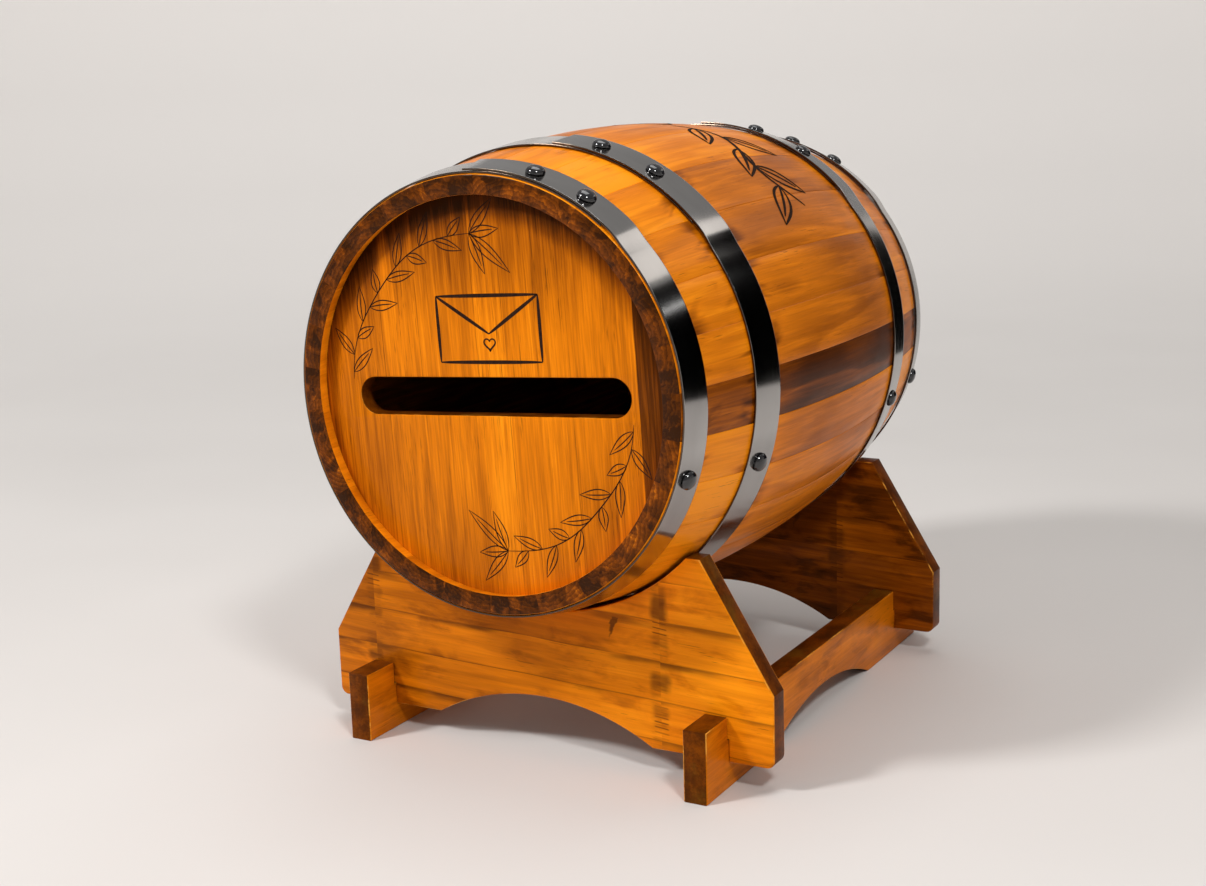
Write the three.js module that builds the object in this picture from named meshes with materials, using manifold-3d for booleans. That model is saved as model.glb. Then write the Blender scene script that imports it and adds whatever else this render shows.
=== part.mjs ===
// Wedding card box: a small riveted-hoop barrel lying on its side in a knock-down wooden cradle.
// Millimetres, +Z up, barrel axis along Y, card slot facing -Y, floor at z = 0.
import * as THREE from 'three';
import { mergeVertices } from 'three/addons/utils/BufferGeometryUtils.js';
import Module from 'manifold-3d';

const wasm = await Module();
wasm.setup();

// ---- driving dimensions -------------------------------------------------------------------------
const DEG = Math.PI / 180;
const GAP = 0.3;

const BARREL_LENGTH = 394;
const END_RADIUS = 133;
const BILGE_RADIUS = 154;
const AXIS_HEIGHT = 243.5;
const BARREL_TURN = 3 * DEG;

const STAVE_COUNT = 26;
const STAVE_THICKNESS = 12;
const FIRST_JOINT = 3.2 * DEG;
const JOINT_ANGLE = 0.13 * DEG;

const HEAD_THICKNESS = 12;
const HEAD_RECESS = 9.2;
const CROZE_RADIUS = 126.5;
const HEAD_RADIUS = CROZE_RADIUS - GAP;

const SLOT_LENGTH = 193;
const SLOT_HEIGHT = 23.5;

const DOOR_OPENING = { width: 150, height: 130, corner: 6 };
const DOOR_GAP = 1;
const REBATE_WIDTH = 5;
const REBATE_DEPTH = 3;

const HOOP_THICKNESS = 1.2;
const HOOP_GAP = 0.4;
const HOOP_STEPS = 60;
const LAP_ANGLE = 42 * DEG;
const LAP_RAMP = 7 * DEG;
const END_HOOP = { from: 0.6, to: 21.8 };
const INNER_HOOP = { from: 70.4, to: 97.8 };

const RIVET_HEAD_RADIUS = 6;
const RIVET_HEAD_HEIGHT = 3.8;
const RIVET_SHANK_RADIUS = 2;
const RIVET_DEPTH = 7;
const RIVET_ANGLES = [18.3, 33.4, 110.2];

const LEAF_THICKNESS = 1.2;
const KNUCKLE_RADIUS = 2.8;
const PIN_RADIUS = 1.2;
const BORE_RADIUS = PIN_RADIUS + GAP;
const HINGE_LENGTH = 26;
const HINGE_LEAF_WIDTH = 17;
const HINGE_SPACING = 76;
const KNUCKLE_CLEAR = 3.3;

const HASP_AXIS_X = -54;
const HASP_LENGTH = 24;
const HASP_LEAF_WIDTH = 18;
const STRAP_LENGTH = 44;
const STRAP_WIDTH = 18;
const STRAP_THICKNESS = 1.4;
const STAPLE_DISTANCE = 34;
const STAPLE_BAR_RADIUS = 1.5;
const STAPLE_HALF_SPAN = 4.5;

const STAND_CENTRE = 10;
const SADDLE_THICKNESS = 16;
const SADDLE_SPACING = 290;
const SADDLE_HALF_WIDTH = 163;
const SADDLE_BOTTOM = 17;
const SADDLE_SIDE_TOP = 63.5;
const HORN_TOP = 143;
const HORN_HALF_WIDTH = 115;
const SADDLE_ARCH = { halfWidth: 80, rise: 22 };
const SADDLE_CLEARANCE = 0.4;

const RAIL_INNER = 116.5;
const RAIL_THICKNESS = 16;
const RAIL_HEIGHT = 46;
const RAIL_HALF_LENGTH = 183;
const RAIL_ARCH = { halfWidth: 85, rise: 18 };
const HALVING_HEIGHT = 31.2;

// ---- finishes -----------------------------------------------------------------------------------
const FINISH = {
  rim: { color: '#c4741c', roughness: 0.3, metalness: 0 },
  head: { color: '#d6851f', roughness: 0.32, metalness: 0 },
  cradle: { color: '#b9691a', roughness: 0.42, metalness: 0 },
  steel: { color: '#b9bcc0', roughness: 0.22, metalness: 1 },
  black: { color: '#14151a', roughness: 0.18, metalness: 0.7 },
  nickel: { color: '#c9c7c0', roughness: 0.28, metalness: 1 },
  brass: { color: '#b08d4a', roughness: 0.3, metalness: 1 },
};

const group = new THREE.Group();
group.name = 'wedding_card_barrel';

function addMesh(name, geometry, finish, shade = 1) {
  const material = new THREE.MeshStandardMaterial(finish);
  material.color.multiplyScalar(shade);
  geometry.computeVertexNormals();
  const mesh = new THREE.Mesh(geometry, material);
  mesh.name = name;
  group.add(mesh);
}

// Everything on the barrel is drawn round its own axis and then laid, slightly turned, in the cradle.
function addToBarrel(name, geometry, finish, shade) {
  geometry.rotateY(-BARREL_TURN);
  geometry.translate(0, 0, AXIS_HEIGHT);
  addMesh(name, geometry, finish, shade);
}

// ---- solids -------------------------------------------------------------------------------------
function toManifold(geometry) {
  const bare = geometry.clone();
  bare.deleteAttribute('normal');
  bare.deleteAttribute('uv');
  const merged = mergeVertices(bare, 1e-4);
  return new wasm.Manifold(new wasm.Mesh({
    numProp: 3,
    vertProperties: new Float32Array(merged.attributes.position.array),
    triVerts: new Uint32Array(merged.index.array),
  }));
}

function toGeometry(manifold) {
  const mesh = manifold.getMesh();
  const geometry = new THREE.BufferGeometry();
  geometry.setAttribute('position', new THREE.BufferAttribute(mesh.vertProperties, 3));
  geometry.setIndex(new THREE.BufferAttribute(mesh.triVerts, 1));
  return geometry;
}

function combine(adds, cuts = []) {
  let solid = toManifold(adds[0]);
  for (const extra of adds.slice(1)) {
    solid = solid.add(toManifold(extra));
  }
  for (const cut of cuts) {
    solid = solid.subtract(toManifold(cut));
  }
  return toGeometry(solid);
}

function boxBetween(low, high) {
  const geometry = new THREE.BoxGeometry(high[0] - low[0], high[1] - low[1], high[2] - low[2]);
  geometry.translate((low[0] + high[0]) / 2, (low[1] + high[1]) / 2, (low[2] + high[2]) / 2);
  return geometry;
}

function extrude(shape, depth, steps = 1, curveSegments = 3) {
  return new THREE.ExtrudeGeometry(shape, { depth, steps, curveSegments, bevelEnabled: false });
}

// Shape drawn in X-Z, running from y0 to y1.
function extrudeAlongY(shape, y0, y1, curveSegments) {
  const geometry = extrude(shape, y1 - y0, 1, curveSegments);
  geometry.rotateX(Math.PI / 2);
  geometry.translate(0, y1, 0);
  return geometry;
}

// Shape drawn in Y-Z, running from x0 to x1.
function extrudeAlongX(shape, x0, x1) {
  const geometry = extrude(shape, x1 - x0);
  const turn = new THREE.Matrix4().makeBasis(
    new THREE.Vector3(0, 1, 0),
    new THREE.Vector3(0, 0, 1),
    new THREE.Vector3(1, 0, 0),
  );
  geometry.applyMatrix4(turn);
  geometry.translate(x0, 0, 0);
  return geometry;
}

// Shape drawn as (distance along the axis, radius), swept round the barrel axis from top towards +X.
function sweepRound(shape, from, to, steps, lift = () => 0) {
  const geometry = extrude(shape, 1, steps);
  const position = geometry.attributes.position;
  for (let i = 0; i < position.count; i += 1) {
    const angle = from + (to - from) * position.getZ(i);
    const radius = position.getY(i) + lift(angle - from);
    position.setXYZ(i, radius * Math.sin(angle), position.getX(i), radius * Math.cos(angle));
  }
  return geometry;
}

function shapeFrom(points) {
  return new THREE.Shape(points.map(([x, y]) => new THREE.Vector2(x, y)));
}

function roundedRectangle(width, height, corner) {
  const x = width / 2;
  const y = height / 2;
  const shape = new THREE.Shape();
  shape.moveTo(-x + corner, -y);
  shape.lineTo(x - corner, -y);
  shape.absarc(x - corner, -y + corner, corner, -Math.PI / 2, 0, false);
  shape.lineTo(x, y - corner);
  shape.absarc(x - corner, y - corner, corner, 0, Math.PI / 2, false);
  shape.lineTo(-x + corner, y);
  shape.absarc(-x + corner, y - corner, corner, Math.PI / 2, Math.PI, false);
  shape.lineTo(-x, -y + corner);
  shape.absarc(-x + corner, -y + corner, corner, Math.PI, Math.PI * 1.5, false);
  return shape;
}

function disc(radius, segments) {
  const points = [];
  for (let i = 0; i < segments; i += 1) {
    const angle = (i / segments) * 2 * Math.PI;
    points.push([radius * Math.cos(angle), radius * Math.sin(angle)]);
  }
  return shapeFrom(points);
}

// Points of a circular arch over a level chord, left to right.
function archPoints(centre, base, { halfWidth, rise }, segments) {
  const radius = (halfWidth * halfWidth + rise * rise) / (2 * rise);
  const half = Math.asin(halfWidth / radius);
  const points = [];
  for (let i = 0; i <= segments; i += 1) {
    const angle = -half + (2 * half * i) / segments;
    points.push([centre + radius * Math.sin(angle), base + rise - radius * (1 - Math.cos(angle))]);
  }
  return points;
}

// ---- barrel body --------------------------------------------------------------------------------
const HALF_LENGTH = BARREL_LENGTH / 2;
const BULGE = BILGE_RADIUS - END_RADIUS;
const STAVE_CURVE = (HALF_LENGTH * HALF_LENGTH + BULGE * BULGE) / (2 * BULGE);

function outerRadius(y) {
  return BILGE_RADIUS - STAVE_CURVE + Math.sqrt(STAVE_CURVE * STAVE_CURVE - y * y);
}

function innerRadius(y) {
  return outerRadius(y) - STAVE_THICKNESS;
}

function jointAngles() {
  const widths = [];
  for (let i = 0; i < STAVE_COUNT; i += 1) {
    widths.push(1 + 0.13 * Math.sin(0.5 * i + 1.6));
  }
  const total = widths.reduce((sum, width) => sum + width, 0);
  const angles = [FIRST_JOINT];
  for (const width of widths) {
    angles.push(angles[angles.length - 1] + (width / total) * 2 * Math.PI);
  }
  return angles;
}

function staveProfile() {
  const headFace = HALF_LENGTH - HEAD_RECESS;
  const grooveOut = headFace + GAP;
  const grooveIn = headFace - HEAD_THICKNESS - GAP;
  const outer = [];
  for (let i = 0; i <= 8; i += 1) {
    const y = -HALF_LENGTH + (BARREL_LENGTH * i) / 8;
    outer.push([y, outerRadius(y)]);
  }
  const inner = [];
  for (let i = 0; i <= 4; i += 1) {
    const y = grooveIn - (2 * grooveIn * i) / 4;
    inner.push([y, innerRadius(y)]);
  }
  const rearGroove = [
    [HALF_LENGTH, innerRadius(HALF_LENGTH)],
    [grooveOut, innerRadius(grooveOut)],
    [grooveOut, CROZE_RADIUS],
    [grooveIn, CROZE_RADIUS],
  ];
  const frontGroove = rearGroove.map(([y, radius]) => [-y, radius]).reverse();
  return shapeFrom([...outer, ...rearGroove, ...inner, ...frontGroove]);
}

// ---- hoops and rivets ---------------------------------------------------------------------------
const HOOPS = [
  { name: 'hoop_front_end', band: END_HOOP, side: -1, seam: 0 },
  { name: 'hoop_front_inner', band: INNER_HOOP, side: -1, seam: 8 },
  { name: 'hoop_rear_inner', band: INNER_HOOP, side: 1, seam: 4 },
  { name: 'hoop_rear_end', band: END_HOOP, side: 1, seam: 6 },
];

function hoopSection({ band, side }) {
  const y0 = side * (HALF_LENGTH - band.from);
  const y1 = side * (HALF_LENGTH - band.to);
  const low = HOOP_GAP;
  const high = HOOP_GAP + HOOP_THICKNESS;
  return shapeFrom([
    [y0, outerRadius(y0) + low],
    [y1, outerRadius(y1) + low],
    [y1, outerRadius(y1) + high],
    [y0, outerRadius(y0) + high],
  ]);
}

// The strip's outer end overlaps its inner end; past the overlap it steps down onto the wood.
function lapLift(angle) {
  const raised = HOOP_THICKNESS + GAP;
  const past = angle - LAP_ANGLE - 2 * DEG;
  return raised * (1 - Math.min(Math.max(past / LAP_RAMP, 0), 1));
}

// Frame whose +Y axis stands square to the hoop at a rivet, origin on the hoop's outer face.
function rivetPlace(hoop, degrees) {
  const y = hoop.side * (HALF_LENGTH - (hoop.band.from + hoop.band.to) / 2);
  const angle = degrees * DEG;
  const slope = Math.asin(-y / STAVE_CURVE);
  const lap = lapLift(angle - hoop.seam * DEG);
  const radius = outerRadius(y) + HOOP_GAP + HOOP_THICKNESS + lap;
  const normal = new THREE.Vector3(
    Math.sin(angle) * Math.cos(slope),
    -Math.sin(slope),
    Math.cos(angle) * Math.cos(slope),
  );
  const turn = new THREE.Quaternion().setFromUnitVectors(new THREE.Vector3(0, 1, 0), normal);
  const origin = new THREE.Vector3(radius * Math.sin(angle), y, radius * Math.cos(angle));
  return new THREE.Matrix4().compose(origin, turn, new THREE.Vector3(1, 1, 1));
}

function rivetHole(hoop, degrees) {
  const depth = RIVET_DEPTH + 6;
  const hole = new THREE.CylinderGeometry(RIVET_SHANK_RADIUS + GAP, RIVET_SHANK_RADIUS + GAP, depth, 8);
  hole.translate(0, 3 - depth / 2 + 0.01, 0);
  hole.applyMatrix4(rivetPlace(hoop, degrees));
  return hole;
}

function rivet(hoop, degrees) {
  const profile = [
    new THREE.Vector2(0, -RIVET_DEPTH + 1),
    new THREE.Vector2(RIVET_SHANK_RADIUS, -RIVET_DEPTH + 1),
    new THREE.Vector2(RIVET_SHANK_RADIUS, GAP),
    new THREE.Vector2(RIVET_HEAD_RADIUS, GAP),
  ];
  for (let i = 1; i <= 3; i += 1) {
    const angle = (i / 3) * (Math.PI / 2);
    const radius = i === 3 ? 0 : RIVET_HEAD_RADIUS * Math.cos(angle);
    profile.push(new THREE.Vector2(radius, GAP + RIVET_HEAD_HEIGHT * Math.sin(angle)));
  }
  const geometry = new THREE.LatheGeometry(profile, 10);
  geometry.applyMatrix4(rivetPlace(hoop, degrees));
  return geometry;
}

const rivetHoles = [];
for (const hoop of HOOPS) {
  const holes = RIVET_ANGLES.map((degrees) => rivetHole(hoop, degrees));
  rivetHoles.push(...RIVET_ANGLES.map((degrees, i) => ({ angle: degrees * DEG, solid: holes[i] })));
  const strip = sweepRound(
    hoopSection(hoop),
    hoop.seam * DEG,
    hoop.seam * DEG + 2 * Math.PI + LAP_ANGLE,
    HOOP_STEPS,
    lapLift,
  );
  addToBarrel(hoop.name, combine([strip], holes), FINISH.steel);
  RIVET_ANGLES.forEach((degrees, i) => {
    addToBarrel(`${hoop.name.replace('hoop', 'rivet')}_${i + 1}`, rivet(hoop, degrees), FINISH.black);
  });
}

const joints = jointAngles();
for (let i = 0; i < STAVE_COUNT; i += 1) {
  const from = joints[i] + JOINT_ANGLE / 2;
  const to = joints[i + 1] - JOINT_ANGLE / 2;
  const board = sweepRound(staveProfile(), from, to, 2);
  const reach = 2 * DEG;
  const holes = rivetHoles.filter(({ angle }) => angle > from - reach && angle < to + reach);
  const shade = 1 + 0.18 * Math.sin(2.4 * i + 0.9);
  const name = `stave_${String(i + 1).padStart(2, '0')}`;
  addToBarrel(name, combine([board], holes.map(({ solid }) => solid)), FINISH.rim, shade);
}

// ---- heads --------------------------------------------------------------------------------------
const FACE = HALF_LENGTH - HEAD_RECESS;

function frontHead() {
  const shape = disc(HEAD_RADIUS, 60);
  const straight = SLOT_LENGTH / 2 - SLOT_HEIGHT / 2;
  const slot = new THREE.Path();
  slot.moveTo(-straight, -SLOT_HEIGHT / 2);
  slot.lineTo(straight, -SLOT_HEIGHT / 2);
  slot.absarc(straight, 0, SLOT_HEIGHT / 2, -Math.PI / 2, Math.PI / 2, false);
  slot.lineTo(-straight, SLOT_HEIGHT / 2);
  slot.absarc(-straight, 0, SLOT_HEIGHT / 2, Math.PI / 2, Math.PI * 1.5, false);
  shape.holes.push(slot);
  return extrudeAlongY(shape, -FACE, -FACE + HEAD_THICKNESS, 8);
}

function headRing(opening, y0, y1) {
  const shape = disc(HEAD_RADIUS, 60);
  shape.holes.push(roundedRectangle(opening.width, opening.height, opening.corner));
  return extrudeAlongY(shape, y0, y1, 3);
}

function rearHead() {
  const lip = {
    width: DOOR_OPENING.width - 2 * REBATE_WIDTH,
    height: DOOR_OPENING.height - 2 * REBATE_WIDTH,
    corner: DOOR_OPENING.corner,
  };
  const inside = FACE - HEAD_THICKNESS;
  const seat = headRing(lip, inside, inside + REBATE_DEPTH);
  const frame = headRing(DOOR_OPENING, inside + REBATE_DEPTH, FACE);
  return combine([seat, frame]);
}

function rearDoor() {
  const width = DOOR_OPENING.width - 2 * DOOR_GAP;
  const height = DOOR_OPENING.height - 2 * DOOR_GAP;
  const panel = roundedRectangle(width, height, DOOR_OPENING.corner - DOOR_GAP);
  return extrudeAlongY(panel, FACE - HEAD_THICKNESS + REBATE_DEPTH + GAP, FACE, 3);
}

addToBarrel('front_head', frontHead(), FINISH.head);
addToBarrel('rear_head', rearHead(), FINISH.head, 0.92);
addToBarrel('rear_door', rearDoor(), FINISH.head, 0.86);

// ---- hinges and hasp ----------------------------------------------------------------------------
const LEAF_BACK = FACE + GAP;
const PIN_Y = LEAF_BACK + KNUCKLE_RADIUS;
const DOOR_AXIS_X = DOOR_OPENING.width / 2 - DOOR_GAP / 2;

function uprightCylinder(radius, x, z0, z1, segments) {
  const geometry = new THREE.CylinderGeometry(radius, radius, z1 - z0, segments);
  geometry.rotateX(Math.PI / 2);
  geometry.translate(x, PIN_Y, (z0 + z1) / 2);
  return geometry;
}

function boxTowards(side, axisX, near, far, y, z) {
  const a = axisX + side * near;
  const b = axisX + side * far;
  return boxBetween([Math.min(a, b), y[0], z[0]], [Math.max(a, b), y[1], z[1]]);
}

function knuckleSpans(centre, length, middle) {
  const third = length / 6;
  if (middle) {
    return [[centre - third + GAP / 2, centre + third - GAP / 2]];
  }
  return [
    [centre - length / 2, centre - third - GAP / 2],
    [centre + third + GAP / 2, centre + length / 2],
  ];
}

// A pressed leaf lying on the wood, rolled into knuckles round a pin at axisX.
function hingeLeaf({ axisX, side, centre, length, width, middle }) {
  const y = [LEAF_BACK, LEAF_BACK + LEAF_THICKNESS];
  const adds = [boxTowards(side, axisX, KNUCKLE_CLEAR, width, y, [centre - length / 2, centre + length / 2])];
  const cuts = [uprightCylinder(BORE_RADIUS, axisX, centre - length, centre + length, 10)];
  for (const span of knuckleSpans(centre, length, middle)) {
    adds.push(uprightCylinder(KNUCKLE_RADIUS, axisX, span[0], span[1], 12));
    adds.push(boxTowards(side, axisX, 0, KNUCKLE_CLEAR + 1, y, span));
  }
  return combine(adds, cuts);
}

function pin(axisX, centre, length) {
  return uprightCylinder(PIN_RADIUS, axisX, centre - length / 2 - 0.6, centre + length / 2 + 0.6, 10);
}

for (const [label, side] of [['upper', 1], ['lower', -1]]) {
  const common = {
    axisX: DOOR_AXIS_X,
    centre: (side * HINGE_SPACING) / 2,
    length: HINGE_LENGTH,
    width: HINGE_LEAF_WIDTH,
  };
  const fixedLeaf = hingeLeaf({ ...common, side: 1, middle: false });
  const doorLeaf = hingeLeaf({ ...common, side: -1, middle: true });
  addToBarrel(`hinge_${label}_head_leaf`, fixedLeaf, FINISH.brass);
  addToBarrel(`hinge_${label}_door_leaf`, doorLeaf, FINISH.brass, 1.05);
  addToBarrel(`hinge_${label}_pin`, pin(common.axisX, common.centre, HINGE_LENGTH), FINISH.brass, 0.8);
}

function haspStrap() {
  const tip = STRAP_LENGTH;
  const half = STRAP_WIDTH / 2;
  const shape = new THREE.Shape();
  shape.moveTo(-KNUCKLE_CLEAR, half);
  shape.lineTo(-tip + half, half);
  shape.absarc(-tip + half, 0, half, Math.PI / 2, Math.PI * 1.5, false);
  shape.lineTo(-KNUCKLE_CLEAR, -half);
  shape.lineTo(-KNUCKLE_CLEAR, half);
  const slot = roundedRectangle(2 * (STAPLE_BAR_RADIUS + 1.4), 2 * (STAPLE_HALF_SPAN + 2.8), 1);
  const points = slot.getPoints(3).map((p) => new THREE.Vector2(p.x - STAPLE_DISTANCE, p.y));
  shape.holes.push(new THREE.Path(points));
  const y = [PIN_Y - STRAP_THICKNESS / 2, PIN_Y + STRAP_THICKNESS / 2];
  const plate = extrudeAlongY(shape, y[0], y[1], 6);
  plate.translate(HASP_AXIS_X, 0, 0);
  const [span] = knuckleSpans(0, HASP_LENGTH, true);
  const knuckle = uprightCylinder(KNUCKLE_RADIUS, HASP_AXIS_X, span[0], span[1], 12);
  const neck = boxTowards(-1, HASP_AXIS_X, 0, KNUCKLE_CLEAR + 1, y, span);
  const bore = uprightCylinder(BORE_RADIUS, HASP_AXIS_X, -HASP_LENGTH, HASP_LENGTH, 10);
  return combine([plate, knuckle, neck], [bore]);
}

function haspStaple() {
  const x = HASP_AXIS_X - STAPLE_DISTANCE;
  const base = boxBetween([x - 8, LEAF_BACK, -11], [x + 8, LEAF_BACK + LEAF_THICKNESS, 11]);
  const path = [[-STAPLE_HALF_SPAN, LEAF_BACK + 0.5]];
  const springing = LEAF_BACK + 2.4;
  for (let i = 0; i <= 6; i += 1) {
    const angle = Math.PI - (i / 6) * Math.PI;
    path.push([STAPLE_HALF_SPAN * Math.cos(angle), springing + STAPLE_HALF_SPAN * Math.sin(angle)]);
  }
  path.push([STAPLE_HALF_SPAN, LEAF_BACK + 0.5]);
  const curve = new THREE.CatmullRomCurve3(path.map(([z, y]) => new THREE.Vector3(x, y, z)));
  const loop = new THREE.ExtrudeGeometry(disc(STAPLE_BAR_RADIUS, 8), {
    steps: 16,
    bevelEnabled: false,
    extrudePath: curve,
  });
  return combine([base, loop]);
}

const haspLeaf = hingeLeaf({
  axisX: HASP_AXIS_X,
  side: 1,
  centre: 0,
  length: HASP_LENGTH,
  width: HASP_LEAF_WIDTH,
  middle: false,
});
addToBarrel('hasp_door_leaf', haspLeaf, FINISH.brass);
addToBarrel('hasp_pin', pin(HASP_AXIS_X, 0, HASP_LENGTH), FINISH.brass, 0.8);
addToBarrel('hasp_strap', haspStrap(), FINISH.brass, 1.05);
addToBarrel('hasp_staple', haspStaple(), FINISH.brass, 0.95);

// ---- cradle -------------------------------------------------------------------------------------
function railNotch(side) {
  const near = side * (RAIL_INNER - GAP);
  const far = side * (RAIL_INNER + RAIL_THICKNESS + GAP);
  const [left, right] = side < 0 ? [far, near] : [near, far];
  const top = HALVING_HEIGHT + GAP;
  return [[left, SADDLE_BOTTOM], [left, top], [right, top], [right, SADDLE_BOTTOM]];
}

function saddle(nearestY) {
  const seat = outerRadius(nearestY) + SADDLE_CLEARANCE;
  const drop = AXIS_HEIGHT - HORN_TOP;
  const half = Math.acos(drop / seat);
  const points = [
    [-SADDLE_HALF_WIDTH, SADDLE_BOTTOM],
    ...railNotch(-1),
    ...archPoints(0, SADDLE_BOTTOM, SADDLE_ARCH, 14),
    ...railNotch(1),
    [SADDLE_HALF_WIDTH, SADDLE_BOTTOM],
    [SADDLE_HALF_WIDTH, SADDLE_SIDE_TOP],
    [HORN_HALF_WIDTH, HORN_TOP],
  ];
  const steps = 30;
  for (let i = 0; i <= steps; i += 1) {
    const angle = half - (2 * half * i) / steps;
    points.push([seat * Math.sin(angle), AXIS_HEIGHT - seat * Math.cos(angle)]);
  }
  points.push([-HORN_HALF_WIDTH, HORN_TOP], [-SADDLE_HALF_WIDTH, SADDLE_SIDE_TOP]);
  return shapeFrom(points);
}

function rail() {
  const first = STAND_CENTRE - RAIL_HALF_LENGTH;
  const last = STAND_CENTRE + RAIL_HALF_LENGTH;
  const points = [[first, 0], ...archPoints(STAND_CENTRE, 0, RAIL_ARCH, 12), [last, 0], [last, RAIL_HEIGHT]];
  for (const side of [1, -1]) {
    const middle = STAND_CENTRE + (side * SADDLE_SPACING) / 2;
    const reach = SADDLE_THICKNESS / 2 + GAP;
    points.push(
      [middle + reach, RAIL_HEIGHT],
      [middle + reach, HALVING_HEIGHT],
      [middle - reach, HALVING_HEIGHT],
      [middle - reach, RAIL_HEIGHT],
    );
  }
  points.push([first, RAIL_HEIGHT]);
  return shapeFrom(points);
}

for (const [label, side] of [['front', -1], ['rear', 1]]) {
  const middle = STAND_CENTRE + (side * SADDLE_SPACING) / 2;
  const inner = middle - (side * SADDLE_THICKNESS) / 2;
  const y0 = middle - SADDLE_THICKNESS / 2;
  addMesh(`saddle_${label}`, extrudeAlongY(saddle(inner), y0, y0 + SADDLE_THICKNESS, 1), FINISH.cradle);
}

for (const [label, side] of [['left', -1], ['right', 1]]) {
  const x0 = side < 0 ? -RAIL_INNER - RAIL_THICKNESS : RAIL_INNER;
  addMesh(`rail_${label}`, extrudeAlongX(rail(), x0, x0 + RAIL_THICKNESS), FINISH.cradle, 0.94);
}

export default group;
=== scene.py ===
import math
import random

import bmesh
import bpy
from mathutils import Matrix, Vector


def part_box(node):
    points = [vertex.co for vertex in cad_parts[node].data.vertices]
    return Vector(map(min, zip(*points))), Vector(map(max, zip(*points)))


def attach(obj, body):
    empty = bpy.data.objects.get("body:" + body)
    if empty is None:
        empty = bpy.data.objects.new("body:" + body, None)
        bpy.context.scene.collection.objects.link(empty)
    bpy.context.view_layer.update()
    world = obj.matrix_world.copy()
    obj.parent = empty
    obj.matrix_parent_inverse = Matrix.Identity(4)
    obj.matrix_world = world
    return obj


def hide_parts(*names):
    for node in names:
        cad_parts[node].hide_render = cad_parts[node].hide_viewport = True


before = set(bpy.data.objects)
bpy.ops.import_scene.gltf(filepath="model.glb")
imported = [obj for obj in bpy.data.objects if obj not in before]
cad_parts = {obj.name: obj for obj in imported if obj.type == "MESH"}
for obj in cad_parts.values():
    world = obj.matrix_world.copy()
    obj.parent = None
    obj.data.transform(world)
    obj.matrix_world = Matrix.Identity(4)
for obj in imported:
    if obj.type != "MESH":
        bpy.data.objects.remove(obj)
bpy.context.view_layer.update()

# ---- sizes ----
MM = 0.001
DEG = math.pi / 180

# From the frame.
head_low, head_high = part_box("front_head")
_, rear_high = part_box("rear_head")
door_low, door_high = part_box("rear_door")
_, stave_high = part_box("stave_01")
rail_low, rail_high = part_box("rail_right")

HALF_LENGTH = stave_high.y
AXIS = (head_low.z + head_high.z) / 2
FRONT_FACE = head_low.y
REAR_FACE = rear_high.y
HEAD_THICKNESS = head_high.y - head_low.y
HEAD_RADIUS = (head_high.x - head_low.x) / 2
DOOR_THICKNESS = door_high.y - door_low.y

# As in the part's source, apart from BOARD_EDGE, the rounding of the cradle's boards.
GAP = 0.3 * MM
TURN = 3 * DEG
END_RADIUS = 133 * MM
BILGE_RADIUS = 154 * MM
BULGE = BILGE_RADIUS - END_RADIUS
CURVE_RADIUS = (HALF_LENGTH ** 2 + BULGE ** 2) / (2 * BULGE)
STAVE_THICKNESS = 12 * MM
STAVE_COUNT = 26
FIRST_JOINT = 3.2 * DEG

SLOT_LENGTH = 193 * MM
SLOT_HEIGHT = 23.5 * MM
OPENING_WIDTH = 150 * MM
OPENING_HEIGHT = 130 * MM
OPENING_CORNER = 6 * MM
DOOR_GAP = 1 * MM
REBATE_WIDTH = 5 * MM
REBATE_DEPTH = 3 * MM

HOOP_THICKNESS = 1.2 * MM
HOOP_GAP = 0.4 * MM
END_BAND = (0.6 * MM, 21.8 * MM)
INNER_BAND = (70.4 * MM, 97.8 * MM)
HOOP_EDGES = [HALF_LENGTH - edge for edge in (INNER_BAND[1], INNER_BAND[0], END_BAND[1])]
LAP_ANGLE = 42 * DEG
LAP_RAMP = 7 * DEG
RIVET_ANGLES = [angle * DEG for angle in (18.3, 33.4, 110.2)]

LEAF_THICKNESS = 1.2 * MM
SADDLE_SIDE_TOP = 63.5 * MM
SADDLE_CLEARANCE = 0.4 * MM
SADDLE_ARCH = (80 * MM, 22 * MM)
HORN_HALF_WIDTH = 115 * MM
RAIL_ARCH = (85 * MM, 18 * MM)
HALVING_HEIGHT = 31.2 * MM
BOARD_EDGE = 1.1 * MM

# The staves drawn here lie this far inside the CAD ones, which leaves room for the burnt lines.
BURN_DEPTH = 0.15 * MM

rng = random.Random(41)


def outer_radius(y):
    return BILGE_RADIUS - CURVE_RADIUS + math.sqrt(CURVE_RADIUS ** 2 - y * y)


def in_barrel(x, y, z):
    """A point drawn round the barrel's own axis, moved to where the turned barrel lies."""
    return Vector((
        x * math.cos(TURN) - z * math.sin(TURN),
        y,
        AXIS + x * math.sin(TURN) + z * math.cos(TURN),
    ))


def round_barrel(angle, y, radius):
    return in_barrel(radius * math.sin(angle), y, radius * math.cos(angle))


BARREL_MATRIX = Matrix.Translation((0, 0, AXIS)) @ Matrix.Rotation(-TURN, 4, "Y")


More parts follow.
